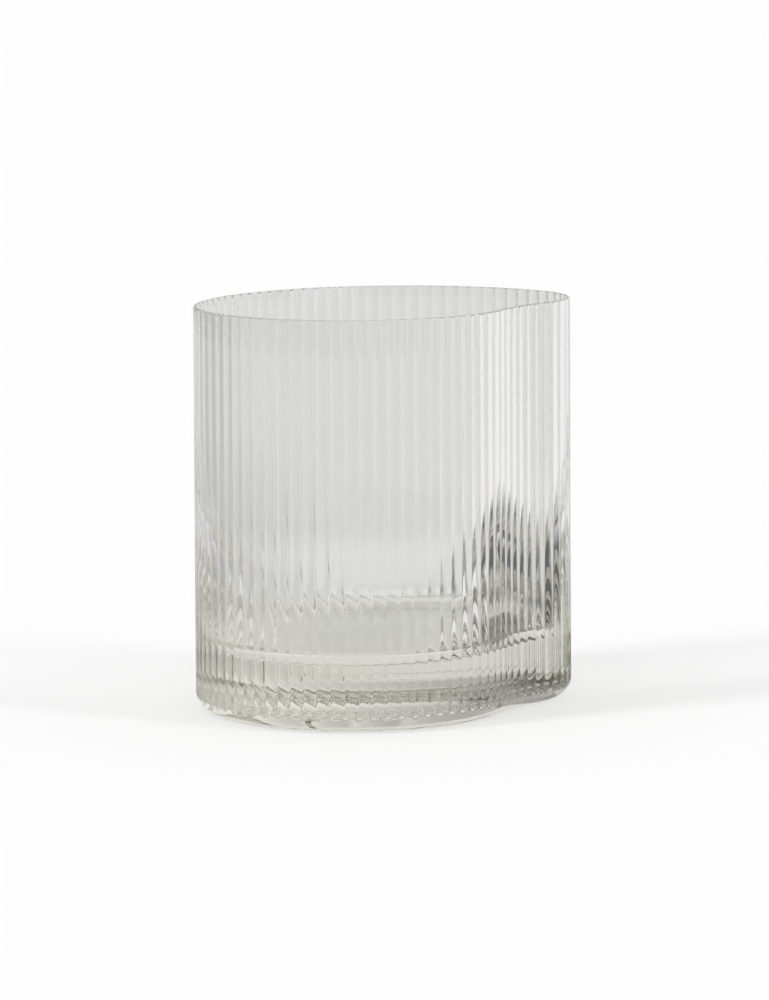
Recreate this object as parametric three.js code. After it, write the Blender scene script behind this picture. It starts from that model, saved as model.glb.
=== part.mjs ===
// A drinking glass with a drop-shaped plan: one round end, one blunt tip, a bowed back and a hollow flank.
// Upright reeds cover the outside from just above the heel to the lip, with narrow grooves between them.
// The inside is smooth, and stands on a thick solid base. Millimetres, +Z up, table at z = 0.

import * as THREE from 'three';

// Plan of the outside, measured over the crests of the reeds.
const BODY_RADIUS = 35.4;
const TIP_RADIUS = 18.9;
// How far the tip stands out past the circle of the round end.
const TIP_REACH = 17.1;
// Radius of the bowed back, beyond half the length of the plan.
const BACK_SPARE = 1.9;
// Radius of the hollow flank between the round end and the tip.
const FLANK_RADIUS = 51.3;

// Heights.
const HEIGHT = 90;
const BASE_THICKNESS = 13.7;
const LIP_HEIGHT = 1.2;
// Smooth glass between the table and the round ends of the grooves.
const HEEL_BAND = 3.2;

// Walls, measured from the crests. The wall is thin at the rim and thick at the foot.
const FOOT_WALL = 7.5;
const RIM_WALL = 0.95;
// Power of the curve by which the wall swells from the rim to the foot: 1 is a straight slope.
const WALL_CURVE = 4.5;
// How far the outside leans in from the table to the rim.
const DRAFT = 0.2;

// Rounded edges.
const HEEL_RADIUS = 4.6;
const FLOOR_FILLET = 4;
const LIP_CROWN = 0.6;

// Underside: a ring that stands on the table, round a shallow hollow.
const BEARING_WIDTH = 5;
const PUNT_RUN = 6;
const PUNT_DEPTH = 0.1;

// Reeds: wide round crests, with a narrow round-nosed groove between each two.
const REED_PITCH = 3.11;
const CREST_RADIUS = 2.6;
const GROOVE_RADIUS = 0.55;
// Length of a groove's round end above the heel.
const GROOVE_END = 1.1;
// How far along the outline the first groove lies.
const FIRST_GROOVE = 0.53;

// Fineness of the facets.
const HEEL_STEPS = 5;
const WALL_STEPS = 8;
const FILLET_STEPS = 5;
const LIP_STEPS = 6;
// Stops along the round end of a groove, as shares of its length, up to the full groove.
const GROOVE_END_STOPS = [0.6, 0.3, 0];

// The plan is a closed chain of four arcs, each tangent to the next, counter-clockwise from above.
// A hollow arc is run clockwise, and moving the outline inwards makes its radius larger.
function dropOutline() {
  const body = new THREE.Vector2(0, 0);
  const tip = new THREE.Vector2(BODY_RADIUS + TIP_REACH - TIP_RADIUS, 0);
  const backRadius = BODY_RADIUS + TIP_REACH / 2 + BACK_SPARE;
  const back = meetingPoint(tip.x, backRadius - BODY_RADIUS, backRadius - TIP_RADIUS);
  const flank = meetingPoint(tip.x, FLANK_RADIUS + BODY_RADIUS, FLANK_RADIUS + TIP_RADIUS);
  const bodyFrom = heading(back, body);
  const bodyTo = heading(body, flank);
  const tipFrom = heading(tip, flank);
  const tipTo = heading(back, tip);
  return [
    arc(body, BODY_RADIUS, bodyFrom, bodyTo, 1),
    arc(flank, FLANK_RADIUS, heading(flank, body), heading(flank, tip), -1),
    arc(tip, TIP_RADIUS, tipFrom, tipTo, 1),
    arc(back, backRadius, tipTo, bodyFrom, 1),
  ];
}

// The point on the front side that lies at the given distances from the body's and the tip's centres.
function meetingPoint(span, fromBody, fromTip) {
  const along = (span * span + fromBody * fromBody - fromTip * fromTip) / (2 * span);
  return new THREE.Vector2(along, -Math.sqrt(fromBody * fromBody - along * along));
}

function heading(from, to) {
  return Math.atan2(to.y - from.y, to.x - from.x);
}

function arc(centre, radius, from, to, turn) {
  const sweep = THREE.MathUtils.euclideanModulo(turn * (to - from), 2 * Math.PI);
  return { centre, radius, from, turn, sweep, length: sweep * radius };
}

const outline = dropOutline();
const outlineLength = outline.reduce((sum, piece) => sum + piece.length, 0);

// A point of the outline at a distance along it, moved inwards by inset.
function outlinePoint(distance, inset) {
  let left = distance;
  let index = 0;
  while (index < outline.length - 1 && left > outline[index].length) {
    left -= outline[index].length;
    index += 1;
  }
  const piece = outline[index];
  const angle = piece.from + (piece.turn * left) / piece.radius;
  const reach = piece.radius - piece.turn * inset;
  return new THREE.Vector2(
    piece.centre.x + reach * Math.cos(angle),
    piece.centre.y + reach * Math.sin(angle),
  );
}

// How far the crests lie inside the outline at a height: the rounded heel, then a slight lean.
function crestInset(z) {
  const drop = Math.max(0, HEEL_RADIUS - z);
  const heel = HEEL_RADIUS - Math.sqrt(HEEL_RADIUS * HEEL_RADIUS - drop * drop);
  return heel + (DRAFT * z) / HEIGHT;
}

// How far the inner wall lies inside the outline at a height.
function insideInset(z) {
  const fall = (HEIGHT - z) / (HEIGHT - BASE_THICKNESS);
  const wall = THREE.MathUtils.lerp(RIM_WALL, FOOT_WALL, fall ** WALL_CURVE);
  return (DRAFT * z) / HEIGHT + wall;
}

// A crest's arc runs tangent into the groove's arc on either side of it.
const reedCount = Math.round(outlineLength / REED_PITCH);
const halfPitch = outlineLength / reedCount / 2;
const steepest = Math.asin(halfPitch / (CREST_RADIUS + GROOVE_RADIUS));
const grooveHalf = GROOVE_RADIUS * Math.sin(steepest);
const grooveDepth = (CREST_RADIUS + GROOVE_RADIUS) * (1 - Math.cos(steepest));

const lipStart = HEIGHT - LIP_HEIGHT;
const grooveFoot = HEEL_BAND + GROOVE_END;

// Depth below the crests, at a distance from the middle of a groove, whose foot is rounded.
function grooveAt(across, z) {
  const pastFoot = (Math.max(0, grooveFoot - z) * halfPitch) / GROOVE_END;
  const reach = Math.hypot(Math.min(across, 2 * halfPitch - across), pastFoot);
  if (reach < grooveHalf) {
    return grooveDepth - GROOVE_RADIUS + Math.sqrt(GROOVE_RADIUS ** 2 - reach ** 2);
  }
  const toCrest = Math.max(0, halfPitch - reach);
  return CREST_RADIUS - Math.sqrt(CREST_RADIUS ** 2 - toCrest ** 2);
}

// Places across one pitch, from the middle of a groove: smooth glass needs the crest alone.
const crest = [halfPitch];
const grooveSide = (grooveHalf + halfPitch) / 2;
const reed = [
  0,
  grooveHalf,
  grooveSide,
  halfPitch,
  2 * halfPitch - grooveSide,
  2 * halfPitch - grooveHalf,
];

// A ring of points round the glass, with the same places across every pitch.
function ring(places, height, insetAt) {
  const stops = [];
  const points = [];
  for (let index = 0; index < reedCount; index += 1) {
    places.forEach((across) => {
      const along = 2 * halfPitch * index + across;
      const distance = (along + FIRST_GROOVE) % outlineLength;
      const point = outlinePoint(distance, insetAt(across));
      stops.push(along / outlineLength);
      points.push(new THREE.Vector3(point.x, point.y, height));
    });
  }
  return { stops, points };
}

function smoothRing(height) {
  return ring(crest, height, () => crestInset(height));
}

function groovedRing(height) {
  return ring(reed, height, (across) => crestInset(height) + grooveAt(across, height));
}

function insideRing(height, extraInset = 0) {
  return ring(crest, height, () => insideInset(height) + extraInset);
}

// A single point on the upright line through the round end.
function pole(height) {
  return { stops: [], points: [new THREE.Vector3(0, 0, height)] };
}

// Skins a list of rings, from first to last. A closed loft also joins the last ring to the first.
function loft(rings, closed) {
  const positions = [];
  const triangles = [];
  const starts = rings.map((item) => {
    const start = positions.length / 3;
    item.points.forEach((point) => positions.push(point.x, point.y, point.z));
    return start;
  });
  const bands = closed ? rings.length : rings.length - 1;
  for (let band = 0; band < bands; band += 1) {
    const next = (band + 1) % rings.length;
    stitch(rings[band], starts[band], rings[next], starts[next], triangles);
  }
  const geometry = new THREE.BufferGeometry();
  geometry.setAttribute('position', new THREE.Float32BufferAttribute(positions, 3));
  geometry.setIndex(triangles);
  geometry.computeVertexNormals();
  return geometry;
}

// Fills the band between two rings, stepping along whichever ring lies behind.
function stitch(lower, lowerStart, upper, upperStart, triangles) {
  const lowerCount = lower.stops.length;
  const upperCount = upper.stops.length;
  const stopAfter = (stops, index) => (index + 1 < stops.length ? stops[index + 1] : stops[0] + 1);
  let low = 0;
  let high = 0;
  while (low < lowerCount || high < upperCount) {
    const lowHere = lowerStart + (lowerCount ? low % lowerCount : 0);
    const highHere = upperStart + (upperCount ? high % upperCount : 0);
    const lowNext = low < lowerCount ? stopAfter(lower.stops, low) : Infinity;
    const highNext = high < upperCount ? stopAfter(upper.stops, high) : Infinity;
    if (lowNext <= highNext) {
      low += 1;
      triangles.push(lowHere, lowerStart + (low % lowerCount), highHere);
    } else {
      high += 1;
      triangles.push(lowHere, upperStart + (high % upperCount), highHere);
    }
  }
}

// The solid base, from the bearing ring on the table to the drinking floor.
function baseGeometry() {
  const underside = (inset, height) => ring(crest, height, () => HEEL_RADIUS + inset);
  const rings = [
    pole(PUNT_DEPTH),
    underside(BEARING_WIDTH + PUNT_RUN, PUNT_DEPTH),
    underside(BEARING_WIDTH, 0),
  ];
  for (let step = 0; step <= HEEL_STEPS; step += 1) {
    const turn = (Math.PI / 2) * (step / HEEL_STEPS);
    rings.push(smoothRing(HEEL_BAND * (1 - Math.cos(turn))));
  }
  GROOVE_END_STOPS.forEach((share) => {
    rings.push(groovedRing(grooveFoot - share * GROOVE_END));
  });
  if (HEEL_RADIUS > grooveFoot) {
    rings.push(groovedRing(HEEL_RADIUS));
  }
  rings.push(groovedRing(BASE_THICKNESS));
  rings.push(pole(BASE_THICKNESS));
  return loft(rings, false);
}

// The reeded wall, which rises from the base with a rounded corner inside.
function wallGeometry() {
  const rings = [groovedRing(BASE_THICKNESS), groovedRing(lipStart)];
  for (let step = 0; step < WALL_STEPS; step += 1) {
    rings.push(insideRing(THREE.MathUtils.lerp(lipStart, BASE_THICKNESS + FLOOR_FILLET, step / WALL_STEPS)));
  }
  for (let step = FILLET_STEPS; step >= 0; step -= 1) {
    const turn = (Math.PI / 2) * (step / FILLET_STEPS);
    const height = BASE_THICKNESS + FLOOR_FILLET * (1 - Math.cos(turn));
    rings.push(insideRing(height, FLOOR_FILLET * (1 - Math.sin(turn))));
  }
  return loft(rings, true);
}

// The lip, with a crowned edge into which the grooves run out.
function rimGeometry() {
  const crownStart = HEIGHT - LIP_CROWN;
  const outer = crestInset(crownStart);
  const inner = insideInset(crownStart);
  const rings = [groovedRing(lipStart)];
  for (let step = 0; step < LIP_STEPS; step += 1) {
    const turn = Math.PI * (step / LIP_STEPS);
    const share = 0.5 - 0.5 * Math.cos(turn);
    const height = crownStart + LIP_CROWN * Math.sin(turn);
    const insetAt = (across) => {
      return THREE.MathUtils.lerp(outer + grooveAt(across, crownStart), inner, share);
    };
    rings.push(ring(reed, height, insetAt));
  }
  rings.push(insideRing(crownStart), insideRing(lipStart));
  return loft(rings, true);
}

function glassMesh(name, geometry) {
  const material = new THREE.MeshStandardMaterial({
    color: 0xd8dad6,
    roughness: 0.04,
    metalness: 0,
    transparent: true,
    opacity: 0.35,
  });
  const mesh = new THREE.Mesh(geometry, material);
  mesh.name = name;
  return mesh;
}

const drinkingGlass = new THREE.Group();
drinkingGlass.add(
  glassMesh('base', baseGeometry()),
  glassMesh('ribbed_wall', wallGeometry()),
  glassMesh('rim', rimGeometry()),
);

// The origin lies under the middle of the plan's box, with the long axis along X.
const plan = new THREE.Box3().setFromObject(drinkingGlass);
const middle = plan.getCenter(new THREE.Vector3());
drinkingGlass.position.set(-middle.x, -middle.y, 0);

export default drinkingGlass;
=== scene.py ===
import math

import bmesh
import bpy
from mathutils import Matrix, Vector


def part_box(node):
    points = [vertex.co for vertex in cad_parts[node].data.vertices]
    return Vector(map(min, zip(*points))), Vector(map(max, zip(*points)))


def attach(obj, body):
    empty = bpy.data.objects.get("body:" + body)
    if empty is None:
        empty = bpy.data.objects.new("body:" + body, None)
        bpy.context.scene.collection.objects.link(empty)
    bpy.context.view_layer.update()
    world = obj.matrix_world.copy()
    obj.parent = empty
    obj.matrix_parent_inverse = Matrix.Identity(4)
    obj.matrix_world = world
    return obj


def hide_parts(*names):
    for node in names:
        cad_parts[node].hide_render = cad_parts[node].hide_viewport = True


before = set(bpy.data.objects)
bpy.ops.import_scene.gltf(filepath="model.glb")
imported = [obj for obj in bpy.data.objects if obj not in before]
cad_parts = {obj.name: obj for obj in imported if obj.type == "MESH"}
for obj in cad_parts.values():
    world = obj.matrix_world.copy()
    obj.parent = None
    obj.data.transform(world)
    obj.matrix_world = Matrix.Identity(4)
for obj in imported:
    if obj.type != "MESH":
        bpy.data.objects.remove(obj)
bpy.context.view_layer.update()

# The camera looks a little down on the glass, from in front and from the round end's side.
# A long lens keeps the ribs upright, and the picture leans a fraction of a degree.
PICTURE_HIGH = 1000
FOCAL_PIXELS = 5775
SENSOR_WIDTH = 36
CLIP_END = 20
CAMERA_DISTANCE = 1.2765
CAMERA_TURN = math.radians(-28.36)
CAMERA_RISE = math.radians(7.63)
CAMERA_ROLL = math.radians(-0.3)
CAMERA_AIM = Vector((-0.0026, -0.0048, 0.0465))


def outwards(turn, rise):
    """The direction away from the glass at a turn from its front and a rise from level."""
    return Vector((
        math.sin(turn) * math.cos(rise),
        -math.cos(turn) * math.cos(rise),
        math.sin(rise),
    ))


camera_data = bpy.data.cameras.new("camera")
camera_data.sensor_width = SENSOR_WIDTH
camera_data.lens = SENSOR_WIDTH * FOCAL_PIXELS / PICTURE_HIGH
camera_data.clip_end = CLIP_END
camera = bpy.data.objects.new("camera", camera_data)
bpy.context.scene.collection.objects.link(camera)
camera_back = outwards(CAMERA_TURN, CAMERA_RISE)
camera_pose = (-camera_back).to_track_quat("-Z", "Y").to_matrix().to_4x4()
camera.matrix_world = (
    Matrix.Translation(CAMERA_AIM + camera_back * CAMERA_DISTANCE)
    @ camera_pose
    @ Matrix.Rotation(CAMERA_ROLL, 4, "Z")
)
bpy.context.scene.camera = camera
bpy.context.scene.view_settings.view_transform = "Standard"

# Light is mirrored and bent many times inside reeded glass before it comes out again.
MOST_BOUNCES = 48
bpy.context.scene.cycles.max_bounces = MOST_BOUNCES
bpy.context.scene.cycles.glossy_bounces = MOST_BOUNCES
bpy.context.scene.cycles.transmission_bounces = MOST_BOUNCES

# The glass is one piece, blown into a ribbed mould and fire polished at the lip.
# Its plan is a drop: a round end, a hollow flank, a blunt tip and a bowed back, as four tangent arcs.
BODY_RADIUS = 0.0354
TIP_RADIUS = 0.0189
TIP_REACH = 0.0171
BACK_SPARE = 0.0019
FLANK_RADIUS = 0.0513


def meeting_point(span, from_body, from_tip):
    """The point on the front side at these distances from the round end's and the tip's centres."""
    along = (span**2 + from_body**2 - from_tip**2) / (2 * span)
    return Vector((along, -math.sqrt(from_body**2 - along**2)))


def heading(start, end):
    return math.atan2(end.y - start.y, end.x - start.x)


def arc(centre, radius, start, end, turn):
    sweep = (turn * (end - start)) % (2 * math.pi)
    return centre, radius, start, turn, sweep * radius


def drop_outline():
    body = Vector((0, 0))
    tip = Vector((BODY_RADIUS + TIP_REACH - TIP_RADIUS, 0))
    back_radius = BODY_RADIUS + TIP_REACH / 2 + BACK_SPARE
    back = meeting_point(tip.x, back_radius - BODY_RADIUS, back_radius - TIP_RADIUS)
    flank = meeting_point(tip.x, FLANK_RADIUS + BODY_RADIUS, FLANK_RADIUS + TIP_RADIUS)
    return [
        arc(body, BODY_RADIUS, heading(back, body), heading(body, flank), 1),
        arc(flank, FLANK_RADIUS, heading(flank, body), heading(flank, tip), -1),
        arc(tip, TIP_RADIUS, heading(tip, flank), heading(back, tip), 1),
        arc(back, back_radius, heading(back, tip), heading(back, body), 1),
    ]


outline = drop_outline()
outline_length = sum(length for *_, length in outline)


def outline_point(distance, inset):
    """A point of the plan at a distance along the outline, moved inwards by inset."""
    for centre, radius, start, turn, length in outline:
        if distance <= length:
            break
        distance -= length
    angle = start + turn * distance / radius
    return centre + (radius - turn * inset) * Vector((math.cos(angle), math.sin(angle)))


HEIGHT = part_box("rim")[1].z
FLOOR_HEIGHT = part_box("base")[1].z
FOOT_WALL = 0.0075
RIM_WALL = 0.00095
WALL_CURVE = 4.5
FLOOR_FILLET = 0.004
DRAFT = 0.0002
HEEL_RADIUS = 0.0046
LIP_CROWN = 0.0006
BEARING_WIDTH = 0.005
PUNT_RUN = 0.006
PUNT_DEPTH = 0.0001
SUPPORT_WIDTH = 0.0005


def crest_inset(height):
    """How far the crests of the ribs lie inside the plan: the rounded heel, then a slight lean."""
    drop = max(0.0, HEEL_RADIUS - height)
    return HEEL_RADIUS - math.sqrt(HEEL_RADIUS**2 - drop**2) + DRAFT * height / HEIGHT


def inside_inset(height):
    """How far the inside lies within the plan: the wall swells downwards and rounds into the floor."""
    fall = (HEIGHT - height) / (HEIGHT - FLOOR_HEIGHT)
    wall = RIM_WALL + (FOOT_WALL - RIM_WALL) * fall**WALL_CURVE
    corner = max(0.0, FLOOR_FILLET - (height - FLOOR_HEIGHT))
    rounding = FLOOR_FILLET - math.sqrt(max(0.0, FLOOR_FILLET**2 - corner**2))
    return DRAFT * height / HEIGHT + wall + rounding


# The grooves between the ribs are round-nosed channels, pressed in from the level of the crests.
# A groove starts in a round pit above the heel, runs up the wall and fades out over the lip's crown.
RIB_PITCH = 0.00311
RIB_SHIFT = 0.00053
CREST_RADIUS = 0.0026
GROOVE_RADIUS = 0.00055
BEAD_HEIGHT = 0.0043
BEAD_RADIUS = 0.00105
BEAD_DEPTH = 0.0006
END_SHARPNESS = 1.8
rib_count = round(outline_length / RIB_PITCH)
half_pitch = outline_length / rib_count / 2
steepest = math.asin(half_pitch / (CREST_RADIUS + GROOVE_RADIUS))
groove_depth = (CREST_RADIUS + GROOVE_RADIUS) * (1 - math.cos(steepest))
groove_half = GROOVE_RADIUS * math.sin(steepest)
groove_end = half_pitch / END_SHARPNESS
bead_curve = (BEAD_RADIUS**2 + BEAD_DEPTH**2) / (2 * BEAD_DEPTH)


def groove(across, height):
    """Depth below the crests, at a distance across from the middle of a groove."""
    below = BEAD_HEIGHT - height
    bead = math.sqrt(max(0.0, bead_curve**2 - across**2 - below**2)) - bead_curve + BEAD_DEPTH
    reach = math.hypot(across, max(0.0, below) * END_SHARPNESS)
    if reach < groove_half:
        channel = groove_depth - GROOVE_RADIUS + math.sqrt(GROOVE_RADIUS**2 - reach**2)
    else:
        to_crest = max(0.0, half_pitch - reach)
        channel = CREST_RADIUS - math.sqrt(CREST_RADIUS**2 - to_crest**2)
    return max(bead, channel)


def quarter(steps):
    """Angles of a quarter turn, from 0 to a right angle."""
    return [math.pi / 2 * step / steps for step in range(steps + 1)]


def between(low, high, steps):
    return [low + (high - low) * step / steps for step in range(steps + 1)]


# Stations follow the section from the underside, up the outside, over the lip and down to the floor.
# Each is a height, an inset, and the share of the grooves' depth there.
PUNT_STEPS = 6
HEEL_STEPS = 9
BEAD_STEPS = 14
RIB_STEPS = 8
LIP_STEPS = 12
WALL_STEPS = 24
FILLET_STEPS = 16
hollow_edge = HEEL_RADIUS + BEARING_WIDTH
bead_foot = BEAD_HEIGHT - max(BEAD_RADIUS, groove_end)
bead_head = BEAD_HEIGHT + BEAD_RADIUS
crown_start = HEIGHT - LIP_CROWN
crown_outside = crest_inset(crown_start)
crown_inside = inside_inset(crown_start)

stations = [(PUNT_DEPTH, hollow_edge + PUNT_RUN + SUPPORT_WIDTH, 0)]
for turn in reversed(quarter(PUNT_STEPS)):
    height = PUNT_DEPTH * math.sin(turn) ** 2
    stations.append((height, hollow_edge + PUNT_RUN * turn / (math.pi / 2), 0))
stations.append((0, HEEL_RADIUS + SUPPORT_WIDTH, 0))
outside_heights = [bead_foot * (1 - math.cos(turn)) for turn in quarter(HEEL_STEPS)[:-1]]
outside_heights += between(bead_foot, bead_head, BEAD_STEPS)
outside_heights += between(bead_head, crown_start, RIB_STEPS)[1:-1]
for height in outside_heights:
    stations.append((height, crest_inset(height), 1))
for turn in between(0, math.pi, LIP_STEPS):
    across = 0.5 - 0.5 * math.cos(turn)
    inset = crown_outside + across * (crown_inside - crown_outside)
    stations.append((crown_start + LIP_CROWN * math.sin(turn), inset, 1 - across))
inside_heights = between(crown_start, FLOOR_HEIGHT + FLOOR_FILLET, WALL_STEPS)[1:-1]
for turn in reversed(quarter(FILLET_STEPS)):
    inside_heights.append(FLOOR_HEIGHT + FLOOR_FILLET * (1 - math.cos(turn)))
for height in inside_heights:
    stations.append((height, inside_inset(height), 0))
stations.append((FLOOR_HEIGHT, inside_inset(FLOOR_HEIGHT) + SUPPORT_WIDTH, 0))

crests = []
for rib in range(rib_count):
    crest_distance = half_pitch * (2 * rib + 1) + RIB_SHIFT
    crests.append(outline_point(crest_distance % outline_length, 0))
plan_middle = Vector((
    (min(crest.x for crest in crests) + max(crest.x for crest in crests)) / 2,
    (min(crest.y for crest in crests) + max(crest.y for crest in crests)) / 2,
))

# The wall starts as a flat grid, a column for each stop along the outline and a row for each station.
# Every vertex is then wrapped onto its place, the seam is merged and the two ends are filled.
COLUMNS_PER_RIB = 12
COLUMN_CROWDING = 1.6
GRID_HALF = 0.5
SEAM_GAP = 1e-7
LEVEL_SPARE = 1e-6
columns = rib_count * COLUMNS_PER_RIB
rows = len(stations) - 1
shape = bmesh.new()
bmesh.ops.create_grid(shape, x_segments=columns, y_segments=rows, size=GRID_HALF)
for vertex in shape.verts:
    column = round((vertex.co.x + GRID_HALF) * columns) % columns
    row = round((vertex.co.y + GRID_HALF) * rows)
    height, inset, groove_share = stations[row]
    rib, rib_column = divmod(column, COLUMNS_PER_RIB)
    rib_share = 2 * rib_column / COLUMNS_PER_RIB
    from_groove = half_pitch * min(rib_share, 2 - rib_share) ** COLUMN_CROWDING
    side = from_groove if rib_share <= 1 else 2 * half_pitch - from_groove
    distance = (2 * half_pitch * rib + side + RIB_SHIFT) % outline_length
    if groove_share:
        inset += groove_share * groove(from_groove, height)
    point = outline_point(distance, inset) - plan_middle
    vertex.co = (point.x, point.y, height)
bmesh.ops.remove_doubles(shape, verts=shape.verts, dist=SEAM_GAP)
for height in (PUNT_DEPTH, FLOOR_HEIGHT):
    edge_loop = [
        edge for edge in shape.edges
        if edge.is_boundary and abs(edge.verts[0].co.z - height) < LEVEL_SPARE
    ]
    middle_ring = bmesh.ops.extrude_edge_only(shape, edges=edge_loop)["geom"]
    middle_verts = [item for item in middle_ring if isinstance(item, bmesh.types.BMVert)]
    bmesh.ops.pointmerge(shape, verts=middle_verts, merge_co=(*-plan_middle, height))
bmesh.ops.recalc_face_normals(shape, faces=shape.faces)
for face in shape.faces:
    face.smooth = True


def stand(name, shape):
    """Makes a finished shape an object of the scene."""
    mesh = bpy.data.meshes.new(name)
    shape.to_mesh(mesh)
    shape.free()
    standing = bpy.data.objects.new(name, mesh)
    bpy.context.scene.collection.objects.link(standing)
    return standing


glass = stand("drinking_glass", shape)

# The glass is almost clear, with a trace of film on it and slow waves from the mould, and olive in depth.
# The room's light reaches the floor straight through it, and lamp light is dimmed most where it grazes.
GLASS_TINT = (0.96, 0.96, 0.955, 1)
REFRACTION = 1.5
FILM_SCALE = 90
FILM_DETAIL = 3
FILM_RANGE = (0.45, 0.8)
FILM_ROUGHNESS = 0.008
WAVE_STRETCH = (1, 1, 0.4)
WAVE_SCALE = 120
WAVE_DETAIL = 1
WAVE_HEIGHT = 0.00001
DEPTH_TINT = (0.57, 0.55, 0.31, 1)
DEPTH_DENSITY = 5
ROOM_LIGHT_TINT = (0.93, 0.93, 0.925, 1)
SHADE_FACING = (0.9, 0.9, 0.895, 1)
SHADE_GRAZING = (0.55, 0.55, 0.55, 1)


def painted(thing, name):
    """Gives an object a new material, and returns the material's nodes and links."""
    material = bpy.data.materials.new(name)
    material.use_nodes = True
    thing.data.materials.append(material)
    return material.node_tree.nodes, material.node_tree.links


nodes, links = painted(glass, "pale grey glass")
surface = nodes["Principled BSDF"]
surface.inputs["Base Color"].default_value = GLASS_TINT
surface.inputs["IOR"].default_value = REFRACTION
surface.inputs["Transmission Weight"].default_value = 1
place = nodes.new("ShaderNodeTexCoord")
film = nodes.new("ShaderNodeTexNoise")
film.inputs["Scale"].default_value = FILM_SCALE
film.inputs["Detail"].default_value = FILM_DETAIL
film_roughness = nodes.new("ShaderNodeMapRange")
film_roughness.inputs["From Min"].default_value = FILM_RANGE[0]
film_roughness.inputs["From Max"].default_value = FILM_RANGE[1]
film_roughness.inputs["To Max"].default_value = FILM_ROUGHNESS
links.new(place.outputs["Object"], film.inputs["Vector"])
links.new(film.outputs["Fac"], film_roughness.inputs["Value"])
links.new(film_roughness.outputs["Result"], surface.inputs["Roughness"])
stretched = nodes.new("ShaderNodeMapping")
stretched.inputs["Scale"].default_value = WAVE_STRETCH
waves = nodes.new("ShaderNodeTexNoise")
waves.inputs["Scale"].default_value = WAVE_SCALE
waves.inputs["Detail"].default_value = WAVE_DETAIL
ripple = nodes.new("ShaderNodeBump")
ripple.inputs["Strength"].default_value = 1
ripple.inputs["Distance"].default_value = WAVE_HEIGHT
links.new(place.outputs["Object"], stretched.inputs["Vector"])
links.new(stretched.outputs["Vector"], waves.inputs["Vector"])
links.new(waves.outputs["Fac"], ripple.inputs["Height"])
links.new(ripple.outputs["Normal"], surface.inputs["Normal"])
absorption = nodes.new("ShaderNodeVolumeAbsorption")
absorption.inputs["Color"].default_value = DEPTH_TINT
absorption.inputs["Density"].default_value = DEPTH_DENSITY
links.new(absorption.outputs["Volume"], nodes["Material Output"].inputs["Volume"])
clear = nodes.new("ShaderNodeBsdfTransparent")
clear.inputs["Color"].default_value = ROOM_LIGHT_TINT
shadowed = nodes.new("ShaderNodeBsdfTransparent")
grazing = nodes.new("ShaderNodeLayerWeight")
grazing.inputs["Blend"].default_value = 0.5
shade = nodes.new("ShaderNodeValToRGB")
shade.color_ramp.elements[0].color = SHADE_FACING
shade.color_ramp.elements[1].color = SHADE_GRAZING
links.new(grazing.outputs["Facing"], shade.inputs["Fac"])
links.new(shade.outputs["Color"], shadowed.inputs["Color"])
path = nodes.new("ShaderNodeLightPath")
bounce_mix = nodes.new("ShaderNodeMixShader")
links.new(path.outputs["Is Diffuse Ray"], bounce_mix.inputs["Fac"])
links.new(surface.outputs["BSDF"], bounce_mix.inputs[1])
links.new(clear.outputs["BSDF"], bounce_mix.inputs[2])
lamp_mix = nodes.new("ShaderNodeMixShader")
links.new(path.outputs["Is Shadow Ray"], lamp_mix.inputs["Fac"])
links.new(bounce_mix.outputs["Shader"], lamp_mix.inputs[1])
links.new(shadowed.outputs["BSDF"], lamp_mix.inputs[2])
links.new(lamp_mix.outputs["Shader"], nodes["Material Output"].inputs["Surface"])
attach(glass, "root")
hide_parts("base", "ribbed_wall", "rim")

# The floor is a plain white sheet that the glass stands on, wide enough to fill the picture.
# The camera sees it white. What the glass shows of it is painted light and shade: painted shade graded
# from a greyer left to a whiter right, painted light under the foot, and painted shadows of the glass,
# grey close by at the left and dark at the right behind.
FLOOR_SIZE = 14.0
FLOOR_DROP = 0.00005
FLOOR_WHITE = (0.96, 0.96, 0.96, 1)
FLOOR_ROUGHNESS = 0.9
# Painted light under the foot.
UNDER_PAINTED_LIGHT = (0.98, 0.98, 0.98, 1)
UNDER_EDGE = (0.044, 0.056)
NEAR_EDGE = (0.12, 0.16)
# Painted shade close to the glass, with its painted shadows at the left and at the right behind.
NEAR_PAINTED_SHADE = (
    (-180, 0.75), (-94, 0.78), (-84, 0.45), (-70, 0.45), (-58, 0.78),
    (-20, 0.78), (36, 0.84), (48, 0.08), (78, 0.08), (90, 0.92), (180, 0.75),
)
# Painted shade further off, greyer at the left and whiter at the right.
FAR_PAINTED_SHADE = (
    (-180, 0.75), (-100, 0.6), (-55, 0.5), (-32, 0.71), (-10, 0.69),
    (10, 0.73), (45, 0.88), (100, 0.88), (180, 0.75),
)
floor_shape = bmesh.new()
bmesh.ops.create_grid(floor_shape, x_segments=1, y_segments=1, size=FLOOR_SIZE / 2)
bmesh.ops.translate(floor_shape, verts=floor_shape.verts, vec=(0, 0, -FLOOR_DROP))
floor = stand("floor", floor_shape)
floor_nodes, floor_links = painted(floor, "white floor")
floor_surface = floor_nodes["Principled BSDF"]
floor_surface.inputs["Roughness"].default_value = FLOOR_ROUGHNESS
floor_surface.inputs["Specular IOR Level"].default_value = 0


def bearing(nodes, links):
    """Where a point lies round the glass, from 0 to 1, with 0.5 straight behind it for the camera."""
    place = nodes.new("ShaderNodeTexCoord")
    turned = nodes.new("ShaderNodeMapping")
    turned.inputs["Rotation"].default_value = (0, 0, -CAMERA_TURN)
    split = nodes.new("ShaderNodeSeparateXYZ")
    angle = nodes.new("ShaderNodeMath")
    angle.operation = "ARCTAN2"
    share = nodes.new("ShaderNodeMapRange")
    share.inputs["From Min"].default_value = -math.pi
    share.inputs["From Max"].default_value = math.pi
    links.new(place.outputs["Object"], turned.inputs["Vector"])
    links.new(turned.outputs["Vector"], split.inputs["Vector"])
    links.new(split.outputs["X"], angle.inputs[0])
    links.new(split.outputs["Y"], angle.inputs[1])
    links.new(angle.outputs["Value"], share.inputs["Value"])
    return share.outputs["Result"]


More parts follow.
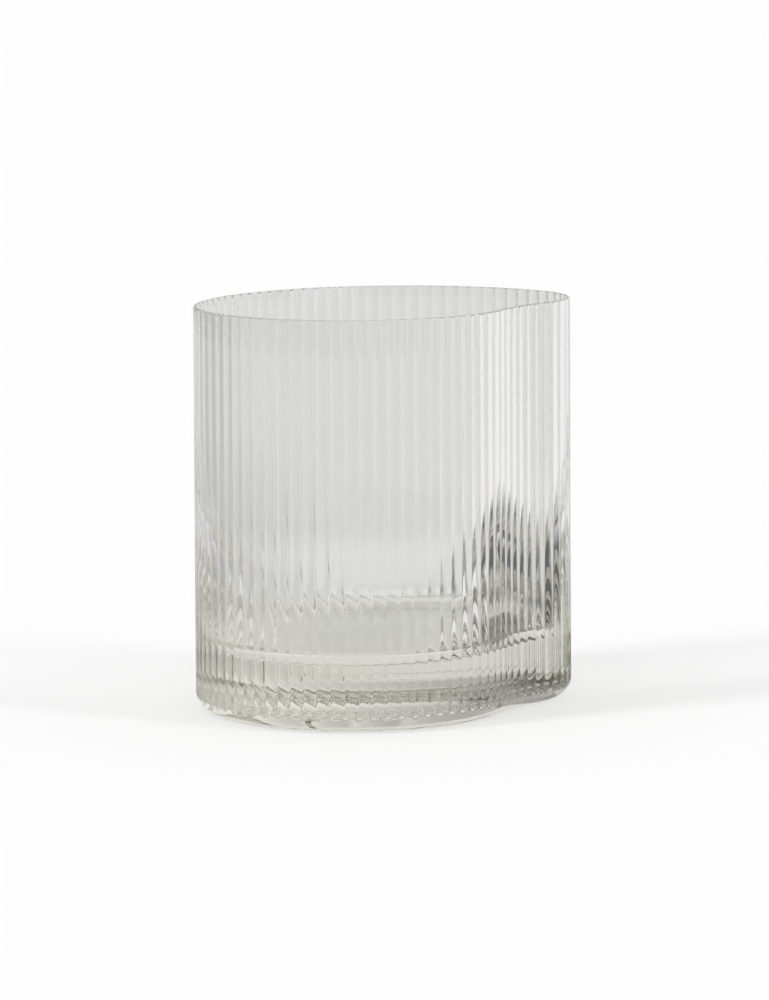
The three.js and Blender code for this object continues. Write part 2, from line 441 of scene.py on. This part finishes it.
def greys(nodes, links, around, tones):
    """Tones round the glass, each at a bearing in degrees that is positive to the camera's right."""
    ramp = nodes.new("ShaderNodeValToRGB")
    stops = ramp.color_ramp.elements
    (first, first_tone), *middle_tones, (last, last_tone) = tones
    stops[0].position = 0.5 + first / 360
    stops[0].color = (first_tone, first_tone, first_tone, 1)
    stops[1].position = 0.5 + last / 360
    stops[1].color = (last_tone, last_tone, last_tone, 1)
    for degrees, tone in middle_tones:
        stops.new(0.5 + degrees / 360).color = (tone, tone, tone, 1)
    links.new(around, ramp.inputs["Fac"])
    return ramp.outputs["Color"]


def blended(nodes, links, measure, edge, below, above):
    """Blends from the tone below an edge to the tone above it, where the edge is a range of a measure."""
    share = nodes.new("ShaderNodeMapRange")
    share.inputs["From Min"].default_value = edge[0]
    share.inputs["From Max"].default_value = edge[1]
    blend = nodes.new("ShaderNodeMix")
    blend.data_type = "RGBA"
    links.new(measure, share.inputs["Value"])
    links.new(share.outputs["Result"], blend.inputs["Factor"])
    links.new(below, blend.inputs["A"])
    links.new(above, blend.inputs["B"])
    return blend.outputs["Result"]


floor_bearing = bearing(floor_nodes, floor_links)
near_painted_shade = greys(floor_nodes, floor_links, floor_bearing, NEAR_PAINTED_SHADE)
far_painted_shade = greys(floor_nodes, floor_links, floor_bearing, FAR_PAINTED_SHADE)
painted_under_light_node = floor_nodes.new("ShaderNodeRGB")
painted_under_light_node.outputs["Color"].default_value = UNDER_PAINTED_LIGHT
floor_place = floor_nodes.new("ShaderNodeTexCoord")
floor_distance = floor_nodes.new("ShaderNodeVectorMath")
floor_distance.operation = "LENGTH"
floor_links.new(floor_place.outputs["Object"], floor_distance.inputs[0])
from_middle = floor_distance.outputs["Value"]
painted_light_under_foot = painted_under_light_node.outputs["Color"]
near_painted_floor = blended(floor_nodes, floor_links, from_middle, UNDER_EDGE, painted_light_under_foot, near_painted_shade)
painted_floor_shade = blended(floor_nodes, floor_links, from_middle, NEAR_EDGE, near_painted_floor, far_painted_shade)
floor_path = floor_nodes.new("ShaderNodeLightPath")
floor_mix = floor_nodes.new("ShaderNodeMix")
floor_mix.data_type = "RGBA"
floor_mix.inputs["B"].default_value = FLOOR_WHITE
floor_links.new(floor_path.outputs["Is Camera Ray"], floor_mix.inputs["Factor"])
floor_links.new(painted_floor_shade, floor_mix.inputs["A"])
floor_links.new(floor_mix.outputs["Result"], floor_surface.inputs["Base Color"])

# A round screen of glowing paper stands about the glass, with painted light and shade of a room on it. It
# is grey behind the glass and paler higher up, white at the right, white once more at the right in front,
# and black elsewhere.
# It is there for the glass to show, so the camera doesn't see it and it shades nothing.
SCREEN_RADIUS = 1.1
SCREEN_HIGH = 6.0
SCREEN_SIDES = 64
HIGH_EDGE = (0.3, 0.6)
# Painted light and shade of the room on the screen, low down and higher up.
LOW_PAINTED_LIGHT = (
    (-180, 0.04), (-44, 0.04), (-33, 0.44), (-12, 0.52), (0, 0.62),
    (22, 0.75), (40, 0.9), (58, 1.1), (86, 1.1), (98, 0.04), (114, 0.04),
    (122, 1.2), (146, 1.2), (156, 0.04), (180, 0.04),
)
HIGH_PAINTED_LIGHT = (
    (-180, 0.04), (-30, 0.04), (-14, 0.75), (20, 0.95), (58, 1.3), (86, 1.3),
    (98, 0.04), (114, 0.04), (122, 1.4), (146, 1.4), (156, 0.04), (180, 0.04),
)
screen_shape = bmesh.new()
screen_foot = screen_shape.verts.new((0, SCREEN_RADIUS, 0))
screen_head = screen_shape.verts.new((0, SCREEN_RADIUS, SCREEN_HIGH))
screen_edge = screen_shape.edges.new((screen_foot, screen_head))
bmesh.ops.spin(
    screen_shape,
    geom=[screen_foot, screen_head, screen_edge],
    cent=(0, 0, 0),
    axis=(0, 0, 1),
    angle=2 * math.pi,
    steps=SCREEN_SIDES,
    use_merge=True,
)
screen = stand("painted_light_screen", screen_shape)
screen.visible_camera = False
screen.visible_diffuse = False
screen.visible_shadow = False
screen_nodes, screen_links = painted(screen, "glowing screen with painted room light")
screen_nodes.remove(screen_nodes["Principled BSDF"])
screen_bearing = bearing(screen_nodes, screen_links)
low_painted_light = greys(screen_nodes, screen_links, screen_bearing, LOW_PAINTED_LIGHT)
high_painted_light = greys(screen_nodes, screen_links, screen_bearing, HIGH_PAINTED_LIGHT)
screen_place = screen_nodes.new("ShaderNodeTexCoord")
screen_split = screen_nodes.new("ShaderNodeSeparateXYZ")
screen_links.new(screen_place.outputs["Object"], screen_split.inputs["Vector"])
above_floor = screen_split.outputs["Z"]
painted_room_light = blended(screen_nodes, screen_links, above_floor, HIGH_EDGE, low_painted_light, high_painted_light)
glow = screen_nodes.new("ShaderNodeEmission")
screen_links.new(painted_room_light, glow.inputs["Color"])
screen_links.new(glow.outputs["Emission"], screen_nodes["Material Output"].inputs["Surface"])

# Lamps stand far off in front of the glass, at its left and its right, so the floor is lit evenly.
# The glass doesn't show them.
LAMP_RISE = math.radians(35)
LAMP_SPREAD = math.radians(12)
LEFT_TURN = math.radians(-88)
LEFT_STRENGTH = 0.82
RIGHT_TURN = math.radians(32)
RIGHT_STRENGTH = 0.44


def far_lamp(name, turn, strength):
    lamp_data = bpy.data.lights.new(name, "SUN")
    lamp_data.angle = LAMP_SPREAD
    lamp_data.energy = strength
    lamp = bpy.data.objects.new(name, lamp_data)
    bpy.context.scene.collection.objects.link(lamp)
    lamp.matrix_world = outwards(turn, LAMP_RISE).to_track_quat("Z", "Y").to_matrix().to_4x4()
    lamp.visible_camera = False
    lamp.visible_glossy = False
    lamp.visible_transmission = False


far_lamp("left_lamp", LEFT_TURN, LEFT_STRENGTH)
far_lamp("right_lamp", RIGHT_TURN, RIGHT_STRENGTH)

# The room is white and even.
ROOM_STRENGTH = 0.8
world = bpy.data.worlds.new("room")
bpy.context.scene.world = world
world.use_nodes = True
room = world.node_tree.nodes["Background"]
room.inputs["Color"].default_value = (1, 1, 1, 1)
room.inputs["Strength"].default_value = ROOM_STRENGTH
